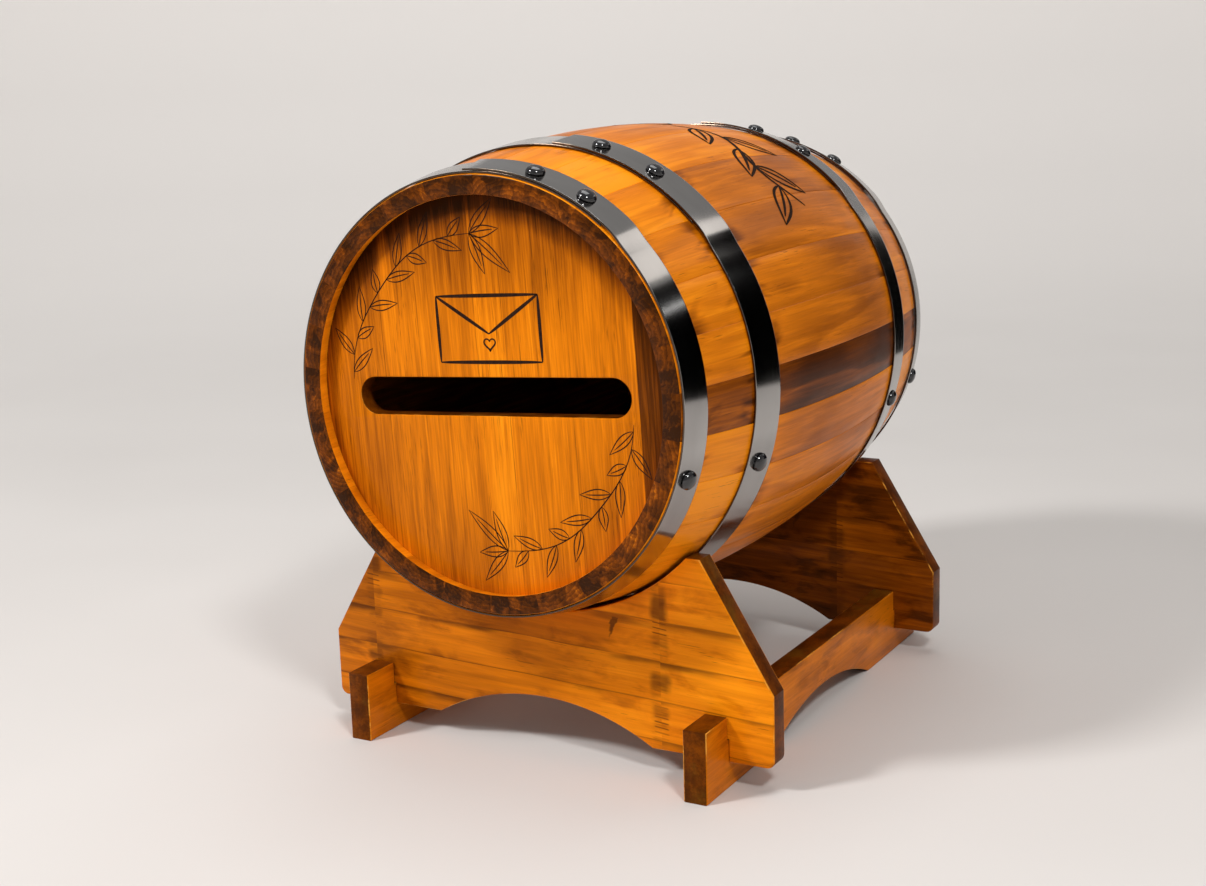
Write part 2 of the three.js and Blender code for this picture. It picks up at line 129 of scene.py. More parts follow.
# ---- node trees ----
class Tree:
    """Short calls for the nodes of one material."""

    def __init__(self, name):
        self.material = bpy.data.materials.new(name)
        self.material.use_nodes = True
        self.nodes = self.material.node_tree.nodes
        self.links = self.material.node_tree.links
        self.shader = self.nodes["Principled BSDF"]

    def put(self, socket, value):
        if hasattr(value, "is_output"):
            self.links.new(value, socket)
        elif value is not None:
            socket.default_value = value

    def node(self, kind, *values, out=0, settings=None, **inputs):
        """A new node, with values for its first sockets in order or for any socket by name."""
        node = self.nodes.new(kind)
        for key, value in (settings or {}).items():
            setattr(node, key, value)
        for socket, value in zip(node.inputs, values):
            self.put(socket, value)
        for key, value in inputs.items():
            self.put(node.inputs[key], value)
        return node.outputs[out]

    def math(self, operation, *values):
        return self.node("ShaderNodeMath", *values, settings={"operation": operation})

    def plus(self, a, b):
        return self.math("ADD", a, b)

    def minus(self, a, b):
        return self.math("SUBTRACT", a, b)

    def times(self, a, b):
        return self.math("MULTIPLY", a, b)

    def times_plus(self, a, b, c):
        return self.math("MULTIPLY_ADD", a, b, c)

    def invert(self, a):
        return self.math("SUBTRACT", 1.0, a)

    def vector(self, operation, *values, out=0):
        return self.node("ShaderNodeVectorMath", *values, out=out, settings={"operation": operation})

    def attribute(self, name, out="Fac"):
        return self.node("ShaderNodeAttribute", out=out, settings={"attribute_name": name})

    def coordinate(self, name):
        return self.node("ShaderNodeTexCoord", out=name)

    def split(self, vector):
        node = self.nodes.new("ShaderNodeSeparateXYZ")
        self.put(node.inputs[0], vector)
        return node.outputs

    def join(self, x, y, z):
        return self.node("ShaderNodeCombineXYZ", x, y, z)

    def noise(self, vector, scale, detail=3.0, rough=0.55, distortion=0.0):
        """Noise with a scale of its own along each axis."""
        stretched = self.vector("MULTIPLY", vector, scale)
        return self.node(
            "ShaderNodeTexNoise", out="Fac", Vector=stretched, Scale=1.0,
            Detail=detail, Roughness=rough, Distortion=distortion,
        )

    def layers(self, total, *pairs):
        """Adds up layers, each given as a value and how strongly it shows."""
        for value, amount in pairs:
            total = self.times_plus(value, amount, total)
        return total

    def sway(self, vector, scale, detail, reach):
        """Noise from about -reach / 2 to reach / 2, to bend a line with."""
        return self.times(self.minus(self.noise(vector, scale, detail), 0.5), reach)

    def rings(self, vector, period, distortion):
        """Growth rings round the X axis, one rise from 0 to 1 for each period."""
        return self.node(
            "ShaderNodeTexWave", out=1,
            settings={"wave_type": "RINGS", "rings_direction": "X", "wave_profile": "SAW"},
            Vector=vector, Scale=2 * math.pi / (20 * period), Distortion=distortion, Detail=2.0,
        )

    def ramp(self, value, stops, mode="LINEAR"):
        node = self.nodes.new("ShaderNodeValToRGB")
        node.color_ramp.interpolation = mode
        elements = node.color_ramp.elements
        while len(elements) < len(stops):
            elements.new(0.5)
        for element, (position, colour) in zip(elements, stops):
            element.position = position
            if not hasattr(colour, "__len__"):
                colour = (colour, colour, colour)
            element.color = (*colour, 1.0)
        self.put(node.inputs[0], value)
        return node.outputs[0]

    def step(self, value, low, high):
        """0 below low, 1 above high and a smooth rise between."""
        smooth = {"interpolation_type": "SMOOTHSTEP"}
        return self.node("ShaderNodeMapRange", value, low, high, settings=smooth)

    def mix(self, factor, a, b):
        node = self.nodes.new("ShaderNodeMix")
        node.data_type = "RGBA"
        self.put(node.inputs[0], factor)
        self.put(node.inputs[6], (*a, 1.0) if isinstance(a, tuple) else a)
        self.put(node.inputs[7], (*b, 1.0) if isinstance(b, tuple) else b)
        return node.outputs[2]

    def bump(self, height, strength, distance):
        return self.node("ShaderNodeBump", Strength=strength, Distance=distance, Height=height)

    def finish(self, **inputs):
        for key, value in inputs.items():
            self.put(self.shader.inputs[key.replace("_", " ")], value)
        return self.material


# ---- wood ----
STAIN = [
    (0.0, (0.016, 0.0035, 0.0004)),
    (0.20, (0.075, 0.0155, 0.0006)),
    (0.38, (0.210, 0.047, 0.0010)),
    (0.56, (0.420, 0.105, 0.0015)),
    (0.76, (0.680, 0.180, 0.0020)),
    (1.0, (0.950, 0.300, 0.0060)),
]
AMBER = (1.0, 0.50, 0.10, 1.0)


def wood_value(t, grain, period, base, ring, smear, cloud, fibre):
    """How light the stained pine is, from about 0 to 1, and the noise of its fibres.

    The last four arguments say how strongly each layer of the grain shows.
    """
    shift = t.sway(grain, (5, 22, 22), 2, 0.022)
    x, y, z = t.split(grain)
    warped = t.join(t.times(x, 0.02), t.plus(y, shift), t.plus(z, shift))
    late = t.ramp(t.rings(warped, period, 1.2), [
        (0.0, 0.0), (0.10, 0.22), (0.55, 0.12), (0.82, -0.25), (0.95, -0.85), (1.0, -0.1),
    ])
    smears = t.noise(grain, (8, 105, 105), 4, 0.6, 0.7)
    smears = t.ramp(smears, [(0.33, -1.0), (0.42, -0.62), (0.49, -0.14), (0.58, 0.10), (0.75, 0.24)])
    streaks = t.noise(grain, (11, 280, 280), 3, 0.6)
    clouds = t.noise(grain, (7, 12, 12), 2)
    fibres = t.noise(grain, (26, 900, 900), 3, 0.6)
    layers = ((late, ring), (streaks, fibre), (smears, smear), (clouds, cloud), (fibres, fibre))
    return t.layers(base - cloud / 2 - fibre, *layers), fibres


def flecks(t, grain, share):
    """Short dark dashes along the grain."""
    dash = t.noise(grain, (55, 1300, 1300), 2, 0.5)
    patch = t.noise(grain, (14, 30, 30), 2)
    return t.times(t.step(dash, 0.66 - share, 0.74 - share), t.step(patch, 0.42, 0.62))


def lacquer(t, value, fibre, grain, coat, rough, bump, wear=None, extra=None, share=0.02):
    """Stain colour, satin lacquer and the small relief of the fibres under it.

    `wear` is where the stain is rubbed through, `extra` a (mask, colour) over it, `share` how
    many flecks there are.
    """
    colour = t.ramp(value, STAIN)
    colour = t.mix(t.times(flecks(t, grain, share), 0.6), colour, (0.07, 0.017, 0.001))
    if extra is not None:
        mask, tint = extra
        colour = t.mix(mask, colour, tint)
    if wear is not None:
        colour = t.mix(wear, colour, (0.80, 0.36, 0.05))
    dull = t.noise(grain, (30, 60, 60), 3)
    roughness = t.times_plus(dull, 0.22, rough - 0.11)
    if wear is not None:
        roughness = t.times_plus(wear, 0.18, roughness)
    height = t.times_plus(fibre, 0.6, t.times(value, 0.4))
    normal = t.bump(height, bump, 0.35 * MM)
    orange_peel = t.noise(grain, (160, 160, 160), 2)
    coat_normal = t.bump(orange_peel, 0.05, 0.4 * MM)
    return t.finish(
        Base_Color=colour, Roughness=roughness, Normal=normal,
        Specular_IOR_Level=0.16, Specular_Tint=AMBER,
        Coat_Weight=coat, Coat_Roughness=0.12, Coat_Normal=coat_normal,
    )


def edge_wear(t, axis, grain, amount):
    """Rubbed arrises: faces that lean between the broad faces and the sides, broken up by noise."""
    along = t.math("ABSOLUTE", t.split(t.coordinate("Normal"))[axis])
    lean = t.times(t.step(along, 0.18, 0.42), t.invert(t.step(along, 0.86, 0.97)))
    chips = t.step(t.noise(grain, (45, 60, 60), 4, 0.7), 0.47, 0.62)
    return t.times(t.times(lean, chips), amount)


def stave_wood():
    """Side grain, darker round the barrel's middle and in patches near the hoops' edges."""
    t = Tree("stave_side_grain")
    grain = t.attribute("grain", "Vector")
    value, fibre = wood_value(t, grain, 9 * MM, base=0.77, ring=0.40, smear=0.80, cloud=0.66, fibre=0.20)
    value = t.plus(value, t.attribute("tone"))
    along, _, _ = t.split(t.attribute("place", "Vector"))
    reach = t.math("ABSOLUTE", along)
    belly = t.invert(t.step(reach, 60 * MM, 130 * MM))
    value = t.minus(value, t.times(belly, 0.20))
    # Darker in noisy patches within 20 mm of each hoop's edge.
    near_hoops = None
    for edge in HOOP_EDGES:
        near = t.invert(t.step(t.math("ABSOLUTE", t.minus(reach, edge)), 0.0, 20 * MM))
        near_hoops = near if near_hoops is None else t.math("MAXIMUM", near_hoops, near)
    patch = t.step(t.noise(grain, (13, 42, 42), 3, 0.6, 0.6), 0.50, 0.64)
    value = t.minus(value, t.times(t.times(near_hoops, patch), 0.36))
    return lacquer(t, value, fibre, grain, coat=0.08, rough=0.38, bump=0.06)


def end_grain():
    """The staves' sawn ends: darker, with cut rings and torn chips."""
    t = Tree("stave_end_grain")
    grain = t.attribute("grain", "Vector")
    _, y, z = t.split(grain)
    flat = t.join(0.0, y, z)
    warp = t.noise(flat, (180, 180, 180), 3)
    bent = t.join(0.0, t.times_plus(warp, 6 * MM, y), t.times_plus(warp, 6 * MM, z))
    chips = t.node(
        "ShaderNodeTexVoronoi", out=1, settings={"feature": "SMOOTH_F1"},
        Vector=bent, Scale=105.0, Smoothness=0.25,
    )
    chip, _, _ = t.split(chips)
    blotch = t.noise(flat, (70, 70, 70), 5, 0.65, 0.5)
    grit = t.noise(flat, (520, 520, 520), 3, 0.6)
    rings = t.rings(bent, 3.1 * MM, 1.6)
    layers = ((blotch, 0.64), (chip, 0.26), (rings, -0.12), (grit, 0.22), (t.attribute("tone"), 0.30))
    value = t.layers(-0.19, *layers)
    colour = t.ramp(value, [
        (0.20, (0.022, 0.0045, 0.0002)),
        (0.34, (0.072, 0.0150, 0.0004)),
        (0.46, (0.150, 0.0320, 0.0008)),
        (0.56, (0.310, 0.0720, 0.0015)),
        (0.64, (0.700, 0.2000, 0.0040)),
    ])
    normal = t.bump(t.plus(grit, t.plus(rings, chip)), 0.3, 0.3 * MM)
    return t.finish(
        Base_Color=colour, Roughness=t.times_plus(blotch, 0.25, 0.30), Normal=normal,
        Specular_IOR_Level=0.16, Specular_Tint=AMBER, Coat_Weight=0.12, Coat_Roughness=0.2,
    )


def board_wood(name, edges, tones):
    """Boards glued edge to edge, each with its own tone and grain; edges are in mm from the axis."""
    t = Tree(name)
    grain = t.attribute("grain", "Vector")
    along, across, depth = t.split(grain)
    edges = [edge * MM for edge in edges]
    span = edges[-1] - edges[0]
    stops = []
    for i, tone in enumerate(tones):
        stops.append(((edges[i] - edges[0]) / span, (0.5 + tone, (i * 0.37) % 1.0, 0.0)))
    position = t.math("DIVIDE", t.minus(across, edges[0]), span)
    tone, shuffle, _ = t.split(t.ramp(position, stops, "CONSTANT"))
    moved = t.join(
        t.times_plus(shuffle, 3.0, along),
        t.times_plus(shuffle, 0.11, across),
        t.times_plus(shuffle, 0.05, t.plus(depth, 0.06)),
    )
    period = 5.5 * MM
    value, fibre = wood_value(t, moved, period, base=0.69, ring=0.18, smear=0.30, cloud=0.34, fibre=0.46)
    value = t.plus(value, t.minus(tone, 0.5))

    # Painted shade: darker away from the middle and towards the top, and a painted shadow of the staves'
    # rim just inside them, deepest at the top.
    reach = t.vector("LENGTH", t.join(along, across, 0.0), out=1)
    painted_falloff = t.step(reach, 50 * MM, 125 * MM)
    value = t.minus(value, t.times(painted_falloff, 0.09))
    # Painted shade: darker towards the top of the head.
    height = t.times_plus(t.noise(grain, (9, 30, 30), 3), 30 * MM, along)
    value = t.minus(value, t.times(t.step(height, 50 * MM, 105 * MM), 0.16))
    # Painted shadow: the staves' rim shades the head just inside it, more at the top.
    rim = t.step(t.times_plus(along, 0.13, reach), 112 * MM, 138 * MM)
    value = t.minus(value, t.times(rim, 0.50))

    # Thin dark joints that show for part of their length.
    gap = None
    wobble = t.sway(grain, (40, 5, 5), 2, 0.5 * MM)
    for edge in edges[1:-1]:
        near = t.math("ABSOLUTE", t.minus(t.plus(across, wobble), edge))
        line = t.invert(t.step(near, 0.10 * MM, 0.45 * MM))
        gap = line if gap is None else t.math("MAXIMUM", gap, line)
    broken = t.step(t.noise(grain, (24, 8, 8), 3), 0.38, 0.62)
    gap = t.times(t.times(gap, broken), 0.6)
    wear = edge_wear(t, 1, grain, 0.15)
    stain = (gap, (0.10, 0.022, 0.001))
    return lacquer(t, value, fibre, moved, 0.05, 0.45, 0.14, wear=wear, extra=stain, share=0.06)


def cradle_wood(name, wear_axis, joints, base, strip, knot=None):
    """Finger-jointed strips: dark glue lines along the grain and comb joints across it."""
    t = Tree(name)
    grain = t.attribute("grain", "Vector")
    along, across, depth = t.split(grain)
    sway = t.sway(grain, (6, 3, 3), 2, 6 * MM)
    level = t.math("DIVIDE", t.plus(across, sway), strip)
    row = t.math("FLOOR", level)
    column = None
    for place in joints:
        here = t.math("GREATER_THAN", along, place)
        column = here if column is None else t.plus(column, here)
    cell = t.join(row, column if column is not None else 0.0, 0.0)
    chance = t.node("ShaderNodeTexWhiteNoise", settings={"noise_dimensions": "2D"}, Vector=cell)
    moved = t.join(
        t.times_plus(chance, 4.0, along),
        t.times_plus(chance, 0.09, across),
        t.times_plus(chance, 0.04, t.plus(depth, 0.05)),
    )
    value, fibre = wood_value(t, moved, 9 * MM, base, ring=0.26, smear=0.52, cloud=0.60, fibre=0.20)
    value = t.plus(value, t.times_plus(chance, 0.10, -0.06))
    # Painted shade and light: darker towards the start of the grain, lighter towards its end; on the
    # saddles the left is shaded and the right lit.
    value = t.plus(value, t.times_plus(t.step(along, -130 * MM, 130 * MM), 0.22, -0.17))
    mottle = t.noise(moved, (22, 62, 62), 4, 0.6, 0.5)
    value = t.times_plus(t.step(mottle, 0.48, 0.72), -0.20, value)

    # Glue lines: a soft smear below each joint between strips and a crisp line above it.
    below = t.math("FRACT", level)
    smear = t.noise(moved, (11, 60, 60), 3)
    line = t.times(t.step(below, 0.70, 0.99), t.step(smear, 0.44, 0.66))
    crisp = t.times(t.invert(t.step(below, 0.0, 0.045)), t.step(smear, 0.34, 0.52))
    mask = t.times(t.math("MAXIMUM", line, crisp), t.times_plus(smear, 1.0, 0.12))

    # Comb joints: teeth in a band across the board, with stain drawn in beside them.
    tooth = 1.7 * MM
    for place in joints:
        off = t.minus(along, place)
        blur = t.sway(grain, (60, 40, 40), 3, 9 * MM)
        reach = t.math("ABSOLUTE", t.plus(off, blur))
        stain = t.invert(t.step(reach, 3.0 * MM, 8.0 * MM))
        stain = t.times(stain, t.step(t.noise(grain, (9, 48, 48), 4, 0.65), 0.42, 0.62))
        band = t.invert(t.step(t.math("ABSOLUTE", off), 4.0 * MM, 6.0 * MM))
        comb = t.math("PINGPONG", t.plus(across, t.times(off, 0.06)), tooth)
        teeth = t.step(t.math("DIVIDE", comb, tooth), 0.55, 0.92)
        teeth = t.times(teeth, t.step(t.noise(grain, (6, 26, 26), 2), 0.40, 0.56))
        mask = t.math("MAXIMUM", mask, t.times(t.times(band, teeth), 0.8))
        mask = t.math("MAXIMUM", mask, t.times(stain, 0.75))
    if knot is not None:
        drop = t.minus(across, knot[1])
        rough = t.sway(grain, (120, 260, 260), 3, 5 * MM)
        aside = t.times_plus(drop, -0.35, t.minus(t.plus(along, rough), knot[0]))
        size = t.times_plus(drop, 0.22, 1.9 * MM)
        past = t.minus(t.math("ABSOLUTE", aside), size)
        wedge = t.invert(t.step(past, -0.8 * MM, 0.6 * MM))
        wedge = t.times(wedge, t.math("LESS_THAN", t.plus(drop, rough), 5 * MM))
        mask = t.math("MAXIMUM", mask, t.times(wedge, 0.8))
    wear = edge_wear(t, wear_axis, grain, 0.8)
    stain = (mask, (0.055, 0.012, 0.001))
    return lacquer(t, value, fibre, moved, coat=0.06, rough=0.42, bump=0.12, wear=wear, extra=stain)


def cut_end(name, wear_axis):
    """Sawn ends and edges of the cradle boards: darker, with the stain soaked in."""
    t = Tree(name)
    grain = t.attribute("grain", "Vector")
    blotch = t.noise(grain, (40, 60, 60), 4, 0.6)
    grit = t.noise(grain, (300, 500, 500), 3, 0.6)
    value = t.times_plus(blotch, 0.60, t.times_plus(grit, 0.24, -0.18))
    wear = edge_wear(t, wear_axis, grain, 0.9)
    scuff = t.times(t.step(t.noise(grain, (28, 28, 28), 4, 0.7), 0.50, 0.68), 0.5)
    scuffed = (scuff, (0.150, 0.068, 0.006))
    return lacquer(t, value, grit, grain, coat=0.04, rough=0.42, bump=0.2, wear=wear, extra=scuffed)


# ---- metal and the rest ----
def hoop_steel():
    t = Tree("hoop_strip_steel")
    place = t.attribute("place", "Vector")
    streak = t.noise(place, (900, 5, 0), 3, 0.6)
    smudge = t.noise(place, (25, 8, 0), 3)
    colour = t.ramp(smudge, [(0.3, (0.40, 0.385, 0.375)), (0.7, (0.52, 0.505, 0.49))])
    # Painted shade: the strip's rolled edges are dark, a painted shadow line along each edge.
    edge = t.step(t.math("ABSOLUTE", t.split(t.coordinate("Normal"))[1]), 0.5, 0.8)
    colour = t.mix(edge, colour, (0.10, 0.07, 0.05))
    scratch = t.step(t.noise(place, (700, 30, 0), 2), 0.70, 0.78)
    roughness = t.times_plus(smudge, 0.09, 0.07)
    roughness = t.times_plus(scratch, 0.10, roughness)
    normal = t.bump(streak, 0.04, 0.1 * MM)
    return t.finish(Base_Color=colour, Metallic=1.0, Roughness=roughness, Normal=normal)


def rivet_black():
    t = Tree("rivet_black_enamel")
    grain = t.coordinate("Object")
    speck = t.noise(grain, (500, 500, 500), 3)
    colour = t.ramp(speck, [(0.3, (0.004, 0.004, 0.005)), (0.8, (0.016, 0.016, 0.018))])
    return t.finish(
        Base_Color=colour, Roughness=t.times_plus(speck, 0.10, 0.05),
        Normal=t.bump(speck, 0.04, 0.1 * MM),
        Coat_Weight=0.8, Coat_Roughness=0.03, Specular_IOR_Level=0.4,
    )


def aged_brass():
    t = Tree("hinge_aged_brass")
    grain = t.coordinate("Object")
    tarnish = t.noise(grain, (140, 140, 140), 4, 0.6)
    rub = t.noise(grain, (900, 60, 900), 2)
    colour = t.ramp(tarnish, [
        (0.32, (0.10, 0.065, 0.028)),
        (0.50, (0.33, 0.225, 0.085)),
        (0.70, (0.52, 0.37, 0.15)),
    ])
    roughness = t.times_plus(tarnish, -0.25, 0.50)
    normal = t.bump(rub, 0.1, 0.1 * MM)
    return t.finish(Base_Color=colour, Metallic=1.0, Roughness=roughness, Normal=normal)


def burnt_line():
    t = Tree("burnt_engraving_and_recess_shade")
    grain = t.coordinate("Object")
    char = t.noise(grain, (600, 600, 600), 3)
    colour = t.ramp(char, [(0.3, (0.008, 0.004, 0.003)), (0.7, (0.030, 0.012, 0.005))])
    roughness = t.times_plus(char, 0.2, 0.6)
    return t.finish(Base_Color=colour, Roughness=roughness, Specular_IOR_Level=0.08)


def pale_floor():
    t = Tree("studio_floor")
    place = t.coordinate("Object")
    cloud = t.noise(place, (2.5, 2.5, 2.5), 2)
    colour = t.ramp(cloud, [(0.3, (0.645, 0.615, 0.590)), (0.7, (0.675, 0.645, 0.620))])
    # Painted light: the floor is made paler far away, where less lamp light reaches it.
    far = t.step(t.vector("LENGTH", place, out=1), 0.6, 3.2)
    colour = t.mix(far, colour, (0.95, 0.915, 0.885))
    return t.finish(Base_Color=colour, Roughness=0.85, Specular_IOR_Level=0.1)


# ---- meshes ----
def link_object(name, data):
    obj = bpy.data.objects.new(name, data)
    bpy.context.scene.collection.objects.link(obj)
    return obj


def add_object(name, mesh, materials, sharp):
    """Welds the mesh and smooths it, apart from edges sharper than `sharp` degrees."""
    work = bmesh.new()
    work.from_mesh(mesh)
    bmesh.ops.remove_doubles(work, verts=work.verts, dist=1e-6)
    bmesh.ops.recalc_face_normals(work, faces=work.faces)
    work.to_mesh(mesh)
    work.free()
    mesh.shade_smooth()
    mesh.set_sharp_from_angle(angle=sharp * DEG)
    obj = link_object(name, mesh)
    for material in materials:
        mesh.materials.append(material)
    return obj


def raw_mesh(name, verts, faces):
    mesh = bpy.data.meshes.new(name)
    mesh.from_pydata([tuple(v) for v in verts], [], faces)
    mesh.update()
    return mesh


def tube_faces(rings, around):
    """Four-sided faces between rings of points, and one face on each end."""
    faces = []
    for i in range(rings - 1):
        a, b = i * around, (i + 1) * around
        for j in range(around):
            k = (j + 1) % around
            faces.append((a + j, a + k, b + k, b + j))
    faces.append(tuple(reversed(range(around))))
    faces.append(tuple((rings - 1) * around + j for j in range(around)))
    return faces


def ring_points(profile, around):
    """Rings of points round the Z axis, one for each (radius, height)."""
    turns = [j / around * 2 * math.pi for j in range(around)]
    return [Vector((r * math.cos(a), r * math.sin(a), height)) for r, height in profile for a in turns]


def dome(profile, around, foot, crown):
    """Points and faces of a round head: rings, in mm, between two poles."""
    verts = [Vector((0, 0, foot * MM))] + [point * MM for point in ring_points(profile, around)]
    verts.append(Vector((0, 0, crown * MM)))
    faces = [(0, 1 + (j + 1) % around, 1 + j) for j in range(around)]
    for ring in range(len(profile) - 1):
        for j in range(around):
            a, b = 1 + ring * around + j, 1 + ring * around + (j + 1) % around
            faces.append((a, b, b + around, a + around))
    last = 1 + (len(profile) - 1) * around
    faces += [(last + j, last + (j + 1) % around, len(verts) - 1) for j in range(around)]
    return verts, faces


def write_vectors(mesh, name, values):
    layer = mesh.attributes.new(name, "FLOAT_VECTOR", "POINT")
    layer.data.foreach_set("vector", [c for v in values for c in v])


def write_numbers(mesh, name, values):
    layer = mesh.attributes.new(name, "FLOAT", "POINT")
    layer.data.foreach_set("value", list(values))


def plate_mesh(name, outlines, thickness, edge, matrix):
    """A flat board with rounded arrises, drawn by its outlines in X-Y and then turned into place."""
    curve = bpy.data.curves.new(name, "CURVE")
    curve.dimensions = "2D"
    curve.fill_mode = "BOTH"
    curve.extrude = thickness / 2 - edge
    curve.bevel_depth = edge
    curve.bevel_resolution = 2
    curve.offset = -edge
    for outline in outlines:
        spline = curve.splines.new("POLY")
        spline.points.add(len(outline) - 1)
        for point, (x, y) in zip(spline.points, outline):
            point.co = (x, y, 0, 1)
        spline.use_cyclic_u = True
    source = link_object(name, curve)
    bpy.context.view_layer.update()
    evaluated = source.evaluated_get(bpy.context.evaluated_depsgraph_get())
    mesh = bpy.data.meshes.new_from_object(evaluated)
    bpy.data.objects.remove(source)
    bpy.data.curves.remove(curve)
    mesh.transform(matrix)
    return mesh


def set_grain(mesh, place):
    write_vectors(mesh, "grain", [place(v.co) for v in mesh.vertices])


def second_material(mesh, chosen):
    """Puts the second material on the faces whose normal is one of the chosen."""
    for polygon in mesh.polygons:
        if chosen(polygon.normal):
            polygon.material_index = 1


# ---- staves ----
# From, to and tone, in degrees from the top towards the right. Other staves get a random tone.
STAVE_TONES = (
    (87, 101, -0.38),
    (75, 87, -0.02),
    (63, 75, -0.08),
    (101, 113, 0.04),
    (113, 140, 0.10),
    (40, 63, -0.03),
    (-25, 40, 0.14),
)


def joint_angles():
    """Where the staves meet, from the top towards the right. Their widths swing by 13 percent."""
    widths = [1 + 0.13 * math.sin(0.5 * i + 1.6) for i in range(STAVE_COUNT)]
    angles = [FIRST_JOINT]
    for width in widths:
        angles.append(angles[-1] + width / sum(widths) * 2 * math.pi)
    return angles


def stave_section(y, a0, a1, chamfer):
    """Points round one cross-section: the rounded outer face, then the inner face."""
    outer = outer_radius(y) - BURN_DEPTH - chamfer
    inner = outer_radius(y) - STAVE_THICKNESS + chamfer
    arris = 0.45 * MM / outer
    points = []
    shape = [(0, 0.28), (0.4, 0.09), (1.0, 0)]
    for along, drop in shape:
        points.append((a0 + arris * along, outer - drop * MM))
    for i in range(1, 4):
        points.append((a0 + (a1 - a0) * i / 4, outer))
    for along, drop in reversed(shape):
        points.append((a1 - arris * along, outer - drop * MM))
    for i in range(4):
        points.append((a1 + (a0 - a1) * i / 3, inner))
    return points


def stave_tone(middle):
    for low, high, tone in STAVE_TONES:
        if low < math.degrees(middle) < high:
            return tone
    return rng.uniform(-0.10, 0.08)


def stave_stations(edge):
    """Places along the axis that get a cross-section: closer together at the ends and heads."""
    stations = [-HALF_LENGTH + 2 * HALF_LENGTH * i / 44 for i in range(45)]
    for y in (HALF_LENGTH - 0.2 * MM, HALF_LENGTH - edge, -FRONT_FACE, -FRONT_FACE - 0.1 * MM):
        stations += [y, -y]
    return sorted(stations)


def make_staves(side, end):
    angles = joint_angles()
    edge = 0.7 * MM
    stations = stave_stations(edge)
    for i in range(STAVE_COUNT):
        a0, a1 = angles[i], angles[i + 1]
        middle = (a0 + a1) / 2
        offset = Vector((rng.uniform(1, 9), rng.uniform(-0.03, 0.03), rng.uniform(0.03, 0.09)))
        verts, grain, place, tones = [], [], [], []
        tone = stave_tone(middle)
        for y in stations:
            depth = edge - (HALF_LENGTH - abs(y))
            chamfer = 0.0 if depth <= 0 else edge - math.sqrt(max(edge ** 2 - depth ** 2, 0))
            section = stave_section(y, a0, a1, chamfer)
            for angle, radius in section:
                verts.append(round_barrel(angle, y, radius))
                across = (angle - middle) * BILGE_RADIUS
                grain.append((y + offset.x, across + offset.y, radius - outer_radius(y) + offset.z))
                place.append((y, across, radius))
                # Painted shade: between the heads, inside the barrel, the staves' inner faces get a tone
                # 0.4 darker.
                inside = radius < outer_radius(y) - 8 * MM and abs(y) < -FRONT_FACE
                tones.append(tone - 0.4 if inside else tone)
        mesh = raw_mesh(f"oak_stave_{i + 1:02d}", verts, tube_faces(len(stations), len(section)))
        write_vectors(mesh, "grain", grain)
        write_vectors(mesh, "place", place)
        write_numbers(mesh, "tone", tones)
        obj = add_object(f"barrel_stave_{i + 1:02d}", mesh, (side, end), 40)
        second_material(mesh, lambda normal: abs(normal.y) > 0.55)
        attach(obj, "barrel")
        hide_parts(f"stave_{i + 1:02d}")


# ---- hoops and rivets ----
# Which end of the barrel, how far the band lies from it, and the strip's start in degrees.
HOOPS = {
    "front_end": (-1, END_BAND, 0),
    "front_inner": (-1, INNER_BAND, 8),
    "rear_inner": (1, INNER_BAND, 4),
    "rear_end": (1, END_BAND, 6),
}


def lap_lift(angle):
    """How far the strip is lifted over its own end, at an angle past its start."""
    past = (angle - LAP_ANGLE - 2 * DEG) / LAP_RAMP
    eased = min(max(past, 0), 1)
    return (HOOP_THICKNESS + GAP) * (1 - eased * eased * (3 - 2 * eased))


def hoop_section(y0, y1):
    """The strip's section, its long edges rolled, as (distance along the axis, radius)."""
    low, high = sorted((y0, y1))
    r = 0.35 * MM
    top = HOOP_THICKNESS
    rise = [(3 * r, top), (r, top), (0.3 * r, top - 0.3 * r), (0.0, top - r)]
    side = [(0.0, r), (0.3 * r, 0.3 * r), (r, 0.0), (2 * r, 0.0)]
    points = []
    for y, way in ((low, 1), (high, -1)):
        base = outer_radius(y) + HOOP_GAP
        ring = [(y + way * dy, base + dr) for dy, dr in rise + side]
        points += ring if way > 0 else reversed(ring)
    return points


def make_hoops(steel):
    steps = 240
    for name, (side, (start, stop), seam) in HOOPS.items():
        section = hoop_section(side * (HALF_LENGTH - start), side * (HALF_LENGTH - stop))
        verts, place = [], []
        for i in range(steps + 1):
            past = (2 * math.pi + LAP_ANGLE) * i / steps
            angle = seam * DEG + past
            for y, radius in section:
                verts.append(round_barrel(angle, y, radius + lap_lift(past)))
                place.append((y, angle * BILGE_RADIUS, radius))
        mesh = raw_mesh(f"strip_{name}", verts, tube_faces(steps + 1, len(section)))
        write_vectors(mesh, "place", place)
        obj = add_object(f"barrel_hoop_{name}", mesh, (steel,), 40)
        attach(obj, "barrel")
        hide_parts(f"hoop_{name}")


def rivet_profile():
    """(radius, height) in mm: a rolled rim, then part of an ellipse."""
    rim = [(5.55, 0.02), (5.90, 0.12), (5.95, 0.45), (5.82, 0.9)]
    rise = (0.22, 0.42, 0.62, 0.82, 1.02, 1.22, 1.4)
    return rim + [(5.70 * math.cos(a), 0.86 + 2.85 * math.sin(a)) for a in rise]


